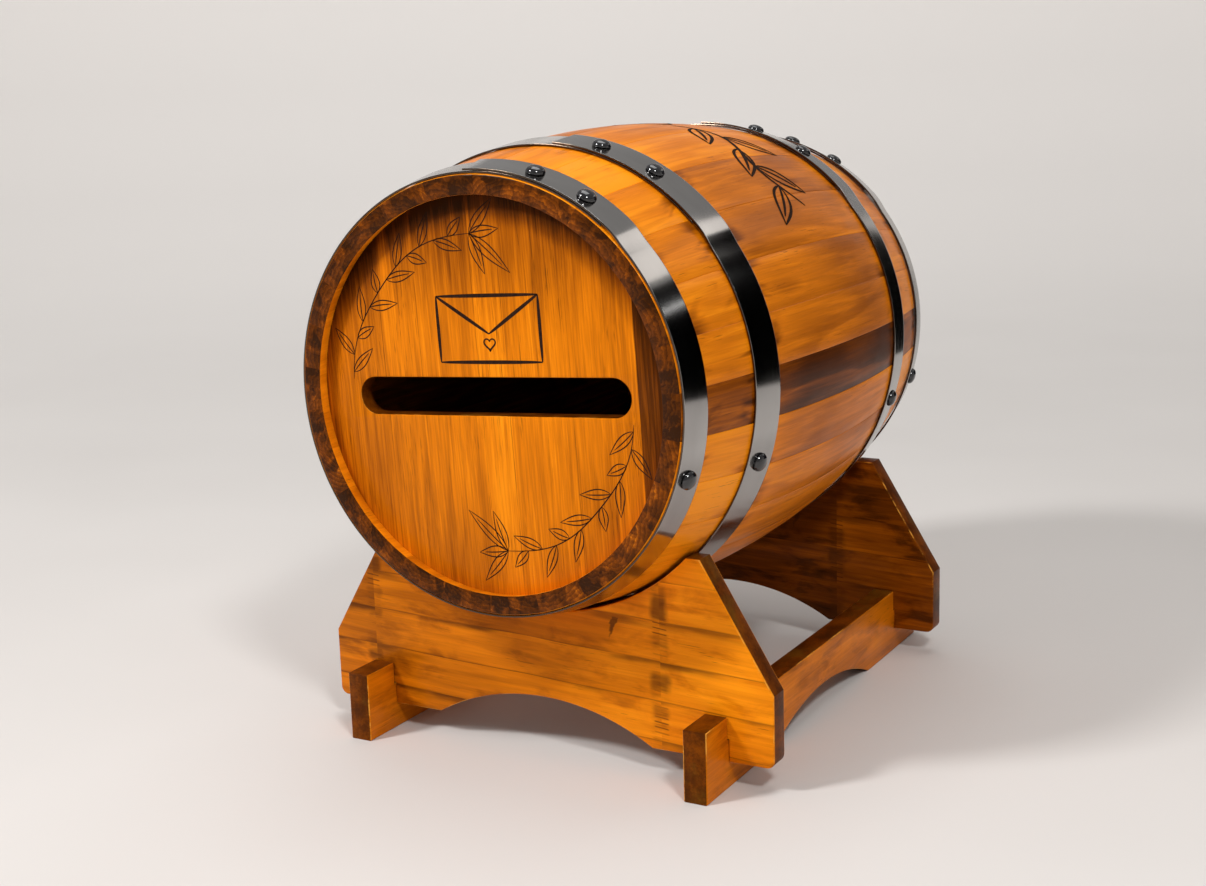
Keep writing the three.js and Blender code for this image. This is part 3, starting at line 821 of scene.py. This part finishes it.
def make_rivets(enamel):
    for name, (side, (start, stop), seam) in HOOPS.items():
        y = side * (HALF_LENGTH - (start + stop) / 2)
        slope = math.asin(-y / CURVE_RADIUS)
        for number, angle in enumerate(RIVET_ANGLES, 1):
            lift = lap_lift(angle - seam * DEG)
            radius = outer_radius(y) + HOOP_GAP + HOOP_THICKNESS + lift
            across, up = math.sin(angle), math.cos(angle)
            outward = Vector((across * math.cos(slope), -math.sin(slope), up * math.cos(slope)))
            turn = outward.to_track_quat("Z", "Y").to_matrix().to_4x4()
            spot = Matrix.Translation((radius * across, y, radius * up))
            mesh = raw_mesh(f"dome_{name}_{number}", *dome(rivet_profile(), 32, 0.02, 3.72))
            mesh.transform(BARREL_MATRIX @ spot @ turn)
            obj = add_object(f"rivet_head_{name}_{number}", mesh, (enamel,), 60)
            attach(obj, "barrel")
            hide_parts(f"rivet_{name}_{number}")


# ---- heads and door ----
def circle_points(radius, count):
    angles = [2 * math.pi * i / count for i in range(count)]
    return [(radius * math.cos(a), radius * math.sin(a)) for a in angles]


def arc_points(cx, cy, radius, start, stop, count):
    angles = [start + (stop - start) * i / count for i in range(count + 1)]
    return [(cx + radius * math.cos(a * DEG), cy + radius * math.sin(a * DEG)) for a in angles]


def stadium(length, height):
    straight = (length - height) / 2
    right = arc_points(straight, 0, height / 2, -90, 90, 20)
    left = arc_points(-straight, 0, height / 2, 90, 270, 20)
    return right + left


def door_outline(inset, corner):
    """The door's opening, made smaller all round by an inset."""
    x, y = OPENING_WIDTH / 2 - inset - corner, OPENING_HEIGHT / 2 - inset - corner
    points = []
    for turn, (cx, cy) in enumerate(((x, -y), (x, y), (-x, y), (-x, -y))):
        points += arc_points(cx, cy, corner, 90 * turn - 90, 90 * turn, 8)
    return points


def upright(y):
    """Turns a plate drawn in X-Y to stand in the barrel's X-Z plane with its middle at y."""
    return Matrix.Translation((0, y, 0)) @ Matrix.Rotation(math.pi / 2, 4, "X")


def head_piece(name, body, node, outlines, y, thickness, edge, materials):
    mesh = plate_mesh(name, outlines, thickness, edge, upright(y))
    set_grain(mesh, lambda co: (co.z, co.x, co.y - y))
    mesh.transform(BARREL_MATRIX)
    obj = add_object(name, mesh, materials, 30)
    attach(obj, body)
    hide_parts(node)
    return obj


def make_heads():
    disc = circle_points(HEAD_RADIUS, 160)
    slot = stadium(SLOT_LENGTH, SLOT_HEIGHT)
    front = board_wood(
        "front_head_boards",
        (-127, -75.5, -48, -6.5, 13, 57, 101, 127),
        (-0.06, 0.00, -0.03, 0.05, 0.03, 0.02, -0.34),
    )
    board = head_piece(
        "front_head_board", "barrel", "front_head", [disc, slot],
        FRONT_FACE + HEAD_THICKNESS / 2, HEAD_THICKNESS, 0.7 * MM, (front, cut_end("slot_cut_edge", 1)),
    )
    second_material(board.data, lambda normal: abs(normal.y) < 0.3)

    rear = board_wood(
        "rear_head_boards",
        (-127, -88, -52, -20, 24, 61, 96, 127),
        (-0.12, 0.0, -0.05, 0.04, -0.02, 0.02, -0.10),
    )
    frame_depth = HEAD_THICKNESS - REBATE_DEPTH
    head_piece(
        "rear_head_frame", "barrel", "rear_head", [disc, door_outline(0, OPENING_CORNER)],
        REAR_FACE - frame_depth / 2, frame_depth, 0.6 * MM, (rear,),
    )
    lip = door_outline(REBATE_WIDTH, OPENING_CORNER)
    inside = REAR_FACE - HEAD_THICKNESS
    seat = plate_mesh(
        "rear_head_seat", [disc, lip], REBATE_DEPTH, 0.3 * MM,
        upright(inside + REBATE_DEPTH / 2),
    )
    set_grain(seat, lambda co: (co.z, co.x, co.y))
    seat.transform(BARREL_MATRIX)
    seat_obj = add_object("rear_head_rebate", seat, (rear,), 30)
    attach(seat_obj, "barrel")

    door = board_wood("rear_door_boards", (-80, -37, 2, 38, 80), (0.0, 0.06, -0.04, 0.03))
    panel = door_outline(DOOR_GAP, OPENING_CORNER - DOOR_GAP)
    head_piece(
        "rear_door_panel", "rear_door", "rear_door", [panel],
        REAR_FACE - DOOR_THICKNESS / 2, DOOR_THICKNESS, 0.8 * MM, (door,),
    )


# ---- hinges, hasp and screws ----
HARDWARE = ["hasp_door_leaf", "hasp_pin", "hasp_strap", "hasp_staple"]
for hinge in ("upper", "lower"):
    HARDWARE += [f"hinge_{hinge}_{part}" for part in ("head_leaf", "door_leaf", "pin")]


def dress_hardware(brass):
    for name in HARDWARE:
        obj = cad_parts[name]
        obj.data.materials.clear()
        obj.data.materials.append(brass)
        bevel = obj.modifiers.new("soft_edges", "BEVEL")
        bevel.width = 0.18 * MM
        bevel.segments = 2
        bevel.limit_method = "ANGLE"
        bevel.angle_limit = 50 * DEG


def screw_spots():
    """Body, distance to the right of the barrel's axis and height above it, in mm, of each screw."""
    hinge_axis, hinge_height = 74.5, 38
    spots = []
    for side in (1, -1):
        for lift in (-8, 8):
            spots.append(("barrel", hinge_axis + 12, side * hinge_height + lift))
            spots.append(("rear_door", hinge_axis - 12, side * hinge_height + lift))
    for lift in (-7.5, 7.5):
        spots.append(("rear_door", -42.5, lift))
        spots.append(("barrel", -93.2, lift))
    return spots


def make_screws(brass, dark):
    """Domed screw heads on the hinge and hasp leaves, each with a dark cross on its top: painted shade
    for the cross recess.
    """
    profile = [(2.3, 0.0), (2.25, 0.22), (1.9, 0.48), (1.3, 0.66), (0.6, 0.75)]
    arm_length, arm_width = 1.5, 0.25
    face = REAR_FACE + GAP + LEAF_THICKNESS
    facing = Matrix.Rotation(-math.pi / 2, 4, "X")
    for number, (body, x, z) in enumerate(screw_spots(), 1):
        verts, faces = dome(profile, 24, 0, 0.78)
        base = len(verts)
        turn = rng.uniform(0, math.pi)
        for arm in (0, math.pi / 2):
            c, s = math.cos(turn + arm), math.sin(turn + arm)
            for way_u, way_v in ((-1, -1), (1, -1), (1, 1), (-1, 1)):
                u, v = way_u * arm_length, way_v * arm_width
                verts.append(Vector((u * c - v * s, u * s + v * c, 0.8)) * MM)
        # The cross is flat and dark: painted shade where the recess would be.
        cross = [tuple(range(base, base + 4)), tuple(range(base + 4, base + 8))]
        mesh = raw_mesh(f"screw_{number:02d}", verts, faces + cross)
        mesh.transform(BARREL_MATRIX @ Matrix.Translation((x * MM, face, z * MM)) @ facing)
        obj = add_object(f"screw_head_{number:02d}", mesh, (brass, dark), 50)
        for polygon in mesh.polygons:
            if len(polygon.vertices) == 4 and min(polygon.vertices) >= base:
                polygon.material_index = 1
        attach(obj, body)


# ---- line drawings ----
def ribbon(points, width):
    """Quads along a line drawn in two dimensions, thinner towards its ends."""
    taper = 0.35
    verts, faces = [], []
    count = len(points)
    for i, (x, y) in enumerate(points):
        ax, ay = points[max(i - 1, 0)]
        bx, by = points[min(i + 1, count - 1)]
        length = math.hypot(bx - ax, by - ay) or 1e-9
        share = i / (count - 1)
        half = width / 2 * (taper + (1 - taper) * math.sin(math.pi * share) ** 0.5)
        nx, ny = -(by - ay) / length * half, (bx - ax) / length * half
        verts += [(x + nx, y + ny), (x - nx, y - ny)]
        if i:
            faces.append((2 * i - 2, 2 * i - 1, 2 * i + 1, 2 * i))
    return verts, faces


def leaf_lines(base, direction, length, width):
    """One leaf: two bowed sides and a vein."""
    c, s = math.cos(direction), math.sin(direction)
    lines = []
    for side in (1, -1, 0):
        line = []
        reach = 1.0 if side else 0.8
        for i in range(11):
            t = i / 10
            u = length * t * reach
            bow = math.sin(math.pi * t ** 0.85) * width * (1 - 0.25 * t)
            v = side * bow if side else 0.10 * width * math.sin(math.pi * t)
            line.append((base[0] + u * c - v * s, base[1] + u * s + v * c))
        lines.append(line)
    return lines


def sprig_lines(start, stop, radius, count):
    """A stem bent round the centre with leaves to either side and a fan of four at its tip."""
    def stem(t):
        angle = (start + (stop - start) * t) * DEG
        reach = radius - 2 * MM * t + 0.9 * MM * math.sin(11 * t)
        return reach * math.sin(angle), reach * math.cos(angle)

    def heading(t):
        ax, ay = stem(t - 0.01)
        bx, by = stem(t + 0.01)
        return math.atan2(by - ay, bx - ax)

    lines = [[stem(i / 60) for i in range(61)]]
    for i in range(count):
        t = 0.03 + 0.86 * i / (count - 1)
        side = 1 if i % 2 else -1
        length = (19.5 + 4.5 * math.sin(2.1 * i + 0.6)) * MM
        lean = side * (42 + 10 * math.sin(1.7 * i)) * DEG
        lines += leaf_lines(stem(t), heading(t) + lean, length, 3.5 * MM)
    for spread, length in ((-72, 26), (-44, 36), (4, 21), (46, 27)):
        lines += leaf_lines(stem(1.0), heading(1.0) + spread * DEG, length * MM, 3.9 * MM)
    return lines


def heart_line(cx, cy, size):
    points = []
    for i in range(41):
        t = 2 * math.pi * i / 40
        x = 16 * math.sin(t) ** 3
        y = 13 * math.cos(t) - 5 * math.cos(2 * t) - 2 * math.cos(3 * t) - math.cos(4 * t)
        points.append((cx + size * x / 32, cy + size * (y + 2) / 32))
    return points


def draw(name, lines, place, char):
    """lines are (points, width) in two dimensions; place puts a point on the wood."""
    verts, faces = [], []
    for points, width in lines:
        flat, quads = ribbon(points, width)
        faces += [tuple(len(verts) + k for k in quad) for quad in quads]
        verts += [place(u, v) for u, v in flat]
    mesh = raw_mesh(name, verts, faces)
    obj = link_object(name, mesh)
    mesh.materials.append(char)
    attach(obj, "barrel")


def straight(a, b):
    count = 12
    (ax, ay), (bx, by) = a, b
    return [(ax + (bx - ax) * i / count, ay + (by - ay) * i / count) for i in range(count + 1)]


def head_drawings(char):
    """Two leaf sprigs round the head, and an envelope with a heart above the slot."""
    def on_head(u, v):
        return in_barrel(u, FRONT_FACE - 0.08 * MM, v)

    fine, bold = 0.75 * MM, 2.3 * MM
    upper = sprig_lines(-84, -3, 101 * MM, 12)
    lower = [[(-x, -y) for x, y in line] for line in sprig_lines(-81, -2, 98 * MM, 12)]
    draw("head_leaf_sprigs", [(line, fine) for line in upper + lower], on_head, char)

    cx, cy = 3 * MM, 41 * MM
    w, h = 36 * MM, 20 * MM
    corners = [(cx - w, cy - h), (cx + w, cy - h), (cx + w, cy + h), (cx - w, cy + h)]
    fold = (cx, cy - 3 * MM)
    lines = [(straight(corners[i], corners[(i + 1) % 4]), bold) for i in range(4)]
    lines += [(straight(corner, fold), bold) for corner in (corners[3], corners[2])]
    lines.append((heart_line(cx, cy - 9.5 * MM, 8 * MM), 1.2 * MM))
    draw("head_envelope_mark", lines, on_head, char)


def top_drawing(char):
    """A heart on top of the barrel, between two leafy stems."""
    def on_top(u, v):
        y = 14 * MM + v
        return round_barrel(u / BILGE_RADIUS, y, outer_radius(y) - 0.2 * BURN_DEPTH)

    bold, medium = 3.4 * MM, 2.6 * MM
    lines = [(heart_line(0, 0, 48 * MM), bold)]
    for way in (1, -1):
        stem = []
        for i in range(61):
            t = i / 60
            stem.append((way * (30 + 112 * t) * MM, 13 * math.sin(2.1 * math.pi * t) * MM))
        lines.append((stem, bold))
        for i, t in enumerate((0.12, 0.30, 0.48, 0.66, 0.84)):
            lean = (48 if i % 2 else -48) * DEG
            direction = lean if way > 0 else math.pi - lean
            leaf = leaf_lines(stem[int(t * 60)], direction, 44 * MM, 8.0 * MM)
            lines += [(line, medium) for line in leaf]
    draw("barrel_top_flourish", lines, on_top, char)


# ---- cradle ----
def arch(centre, base, half_width, rise, count):
    radius = (half_width ** 2 + rise ** 2) / (2 * rise)
    half = math.asin(half_width / radius)
    points = []
    for i in range(count + 1):
        angle = -half + 2 * half * i / count
        points.append((centre + radius * math.sin(angle), base + rise - radius * (1 - math.cos(angle))))
    return points


def saddle_outline(low, high, seat):
    """A saddle in X-Z: rounded feet, notches for the rails, an arch, and horns beside the seat."""
    soft = 5.5 * MM
    left_corner = arc_points(low.x + soft, low.z + soft, soft, 180, 270, 8)
    right_corner = arc_points(high.x - soft, low.z + soft, soft, 270, 360, 8)
    notch = HALVING_HEIGHT + GAP
    inner, outer = rail_low.x - GAP, rail_high.x + GAP
    halving = [(-outer, low.z), (-outer, notch), (-inner, notch), (-inner, low.z)]
    points = left_corner + halving + arch(0, low.z, *SADDLE_ARCH, 40)
    points += [(-x, z) for x, z in reversed(halving)]
    points += right_corner + [(high.x, SADDLE_SIDE_TOP), (HORN_HALF_WIDTH, high.z)]
    half = math.acos((AXIS - high.z) / seat)
    for i in range(73):
        angle = half - 2 * half * i / 72
        points.append((seat * math.sin(angle), AXIS - seat * math.cos(angle)))
    return points + [(-HORN_HALF_WIDTH, high.z), (low.x, SADDLE_SIDE_TOP)]


def rail_outline(low, high, saddles):
    """A rail in Y-Z: an arch below, and a notch above for each saddle."""
    middle = (low.y + high.y) / 2
    points = [(low.y, low.z)] + arch(middle, low.z, *RAIL_ARCH, 40)
    points += [(high.y, low.z), (high.y, high.z)]
    for first, last in sorted(saddles, reverse=True):
        near, far = last + GAP, first - GAP
        points += [(near, high.z), (near, HALVING_HEIGHT), (far, HALVING_HEIGHT), (far, high.z)]
    return points + [(low.y, high.z)]


def make_saddles():
    """Returns where each saddle starts and ends along Y, for the rails' notches."""
    spans = []
    ends = cut_end("cradle_cut_ends", 1)
    # The rear saddle's lower base is painted shade: it is made darker, as it lies in the barrel's shade.
    for label, shift, base in (("front", 0.0, 0.74), ("rear", 0.4, 0.22)):
        low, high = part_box(f"saddle_{label}")
        spans.append((low.y, high.y))
        seat = outer_radius(min(abs(low.y), abs(high.y))) + SADDLE_CLEARANCE
        middle = (low.y + high.y) / 2
        mesh = plate_mesh(
            f"saddle_{label}_board", [saddle_outline(low, high, seat)],
            high.y - low.y, BOARD_EDGE, upright(middle),
        )
        set_grain(mesh, lambda co: (co.x + shift, co.z + 0.045 * co.x, co.y - middle + shift))
        joints = (-130 * MM + shift, 87 * MM + shift)
        knot = (54 * MM + shift, 97 * MM)
        board = cradle_wood(f"saddle_{label}_wood", 1, joints, base, 26 * MM, knot)
        obj = add_object(f"cradle_saddle_{label}", mesh, (board, ends), 30)
        second_material(mesh, lambda normal: abs(normal.y) < 0.2)
        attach(obj, "cradle")
        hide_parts(f"saddle_{label}")
    return spans


def make_rails(spans):
    board = cradle_wood("rail_wood", 0, (), 0.60, 60 * MM)
    ends = cut_end("rail_cut_ends", 0)
    sideways = Matrix(((0, 0, 1, 0), (1, 0, 0, 0), (0, 1, 0, 0), (0, 0, 0, 1)))
    for label, shift in (("left", 0.5), ("right", 0.8)):
        low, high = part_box(f"rail_{label}")
        middle = (low.x + high.x) / 2
        mesh = plate_mesh(
            f"rail_{label}_board", [rail_outline(low, high, spans)],
            high.x - low.x, BOARD_EDGE, Matrix.Translation((middle, 0, 0)) @ sideways,
        )
        set_grain(mesh, lambda co: (co.y + shift, co.z + 0.007, co.x - middle + shift))
        obj = add_object(f"cradle_rail_{label}", mesh, (board, ends), 30)
        second_material(mesh, lambda normal: abs(normal.y) > 0.8 or abs(normal.z) > 0.9)
        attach(obj, "cradle")
        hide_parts(f"rail_{label}")


# ---- studio ----
def make_floor():
    """A round sheet that is flat under the part and curls up far away."""
    profile = [
        (0.8, 0.0), (1.6, 0.0), (2.4, 0.0), (3.0, 0.03),
        (3.5, 0.16), (3.9, 0.42), (4.1, 0.8), (4.2, 1.3),
    ]
    around = 96
    verts = [Vector((0, 0, 0))] + ring_points(profile, around)
    faces = [(0, 1 + j, 1 + (j + 1) % around) for j in range(around)]
    for ring in range(len(profile) - 1):
        for j in range(around):
            a, b = 1 + ring * around + j, 1 + ring * around + (j + 1) % around
            faces.append((a, a + around, b + around, b))
    mesh = raw_mesh("studio_floor", verts, faces)
    mesh.shade_smooth()
    floor = link_object("studio_floor", mesh)
    mesh.materials.append(pale_floor())


def make_card(name, y, outline, colour, strength):
    """An upright studio card, drawn in X-Z, that only shows in reflections."""
    mesh = raw_mesh(name, [(x, y, z) for x, z in outline], [(0, 1, 2, 3)])
    material = bpy.data.materials.new(name)
    material.use_nodes = True
    nodes = material.node_tree.nodes
    nodes.clear()
    glow = nodes.new("ShaderNodeEmission")
    glow.inputs[0].default_value = (*colour, 1)
    glow.inputs[1].default_value = strength
    out = nodes.new("ShaderNodeOutputMaterial")
    material.node_tree.links.new(glow.outputs[0], out.inputs[0])
    card = link_object(name, mesh)
    mesh.materials.append(material)
    for ray in ("camera", "diffuse", "shadow", "transmission"):
        setattr(card, f"visible_{ray}", False)


def make_light(name, place, target, size, energy):
    data = bpy.data.lights.new(name, "AREA")
    data.shape = "RECTANGLE"
    data.size, data.size_y = size
    data.energy = energy
    light = link_object(name, data)
    light.location = place
    light.rotation_euler = (Vector(target) - Vector(place)).to_track_quat("-Z", "Y").to_euler()


def make_world():
    world = bpy.data.worlds.new("studio")
    world.use_nodes = True
    background = world.node_tree.nodes["Background"]
    background.inputs[0].default_value = (1.0, 0.98, 0.96, 1)
    background.inputs[1].default_value = 0.32
    bpy.context.scene.world = world


# Fitted to the photograph: the camera's place in metres, and its turns in degrees.
CAMERA_PLACE = (0.570144, -1.054221, 0.429283)
CAMERA_YAW, CAMERA_PITCH, CAMERA_ROLL = 29.659, 11.797, -1.774
SENSOR_WIDTH = 36
FOCAL_LENGTH = 52.335


def make_camera():
    yaw, pitch, roll = CAMERA_YAW * DEG, CAMERA_PITCH * DEG, CAMERA_ROLL * DEG
    back = Vector((math.sin(yaw) * math.cos(pitch), -math.cos(yaw) * math.cos(pitch), math.sin(pitch)))
    level_right = (-back).cross(Vector((0, 0, 1))).normalized()
    level_up = level_right.cross(-back)
    right = level_right * math.cos(roll) + level_up * math.sin(roll)
    up = level_up * math.cos(roll) - level_right * math.sin(roll)
    data = bpy.data.cameras.new("camera")
    data.sensor_fit = "HORIZONTAL"
    data.sensor_width = SENSOR_WIDTH
    data.lens = FOCAL_LENGTH
    data.clip_start = 0.01
    camera = link_object("camera", data)
    rotation = Matrix((right, up, back)).transposed().to_4x4()
    camera.matrix_world = Matrix.Translation(CAMERA_PLACE) @ rotation
    bpy.context.scene.camera = camera


# ---- build ----
bpy.context.scene.view_settings.view_transform = "Standard"

make_camera()
brass = aged_brass()
char = burnt_line()
make_staves(stave_wood(), end_grain())
make_hoops(hoop_steel())
make_rivets(rivet_black())
make_heads()
dress_hardware(brass)
make_screws(brass, char)
head_drawings(char)
top_drawing(char)
make_rails(make_saddles())

make_floor()
make_world()
middle = Vector((0, 0, 0.2))
make_light("key_left", (-1.1, -1.7, 1.9), middle, (0.36, 0.36), 43)
make_light("key_right", (1.2, -1.2, 1.7), middle, (0.3, 0.3), 21)
make_light("overhead", (0.0, 0.3, 2.3), middle, (1.4, 1.0), 12)
make_light("backdrop", (-1.2, 1.4, 2.9), (-1.9, 3.9, 0.7), (2.0, 1.0), 24)
# Painted reflections: the dark flag gives the hoops their black band, and the two strips glow, lighting
# nothing, to give their highlights.
flag = [(0.3, 0.0), (2.4, 0.0), (2.4, 1.89), (0.3, 0.80)]
bright_strip = [(0.45, 0.885), (1.6, 1.622), (1.6, 1.97), (0.45, 1.30)]
thin_strip = [(0.92, 0.935), (1.3, 0.935), (1.3, 0.965), (0.92, 0.965)]
make_card("dark_flag", 1.25, flag, (0, 0, 0), 0)
make_card("bright_strip", 1.245, bright_strip, (1, 0.95, 0.9), 1.3)
make_card("thin_strip", 1.24, thin_strip, (1, 1, 1), 1.8)
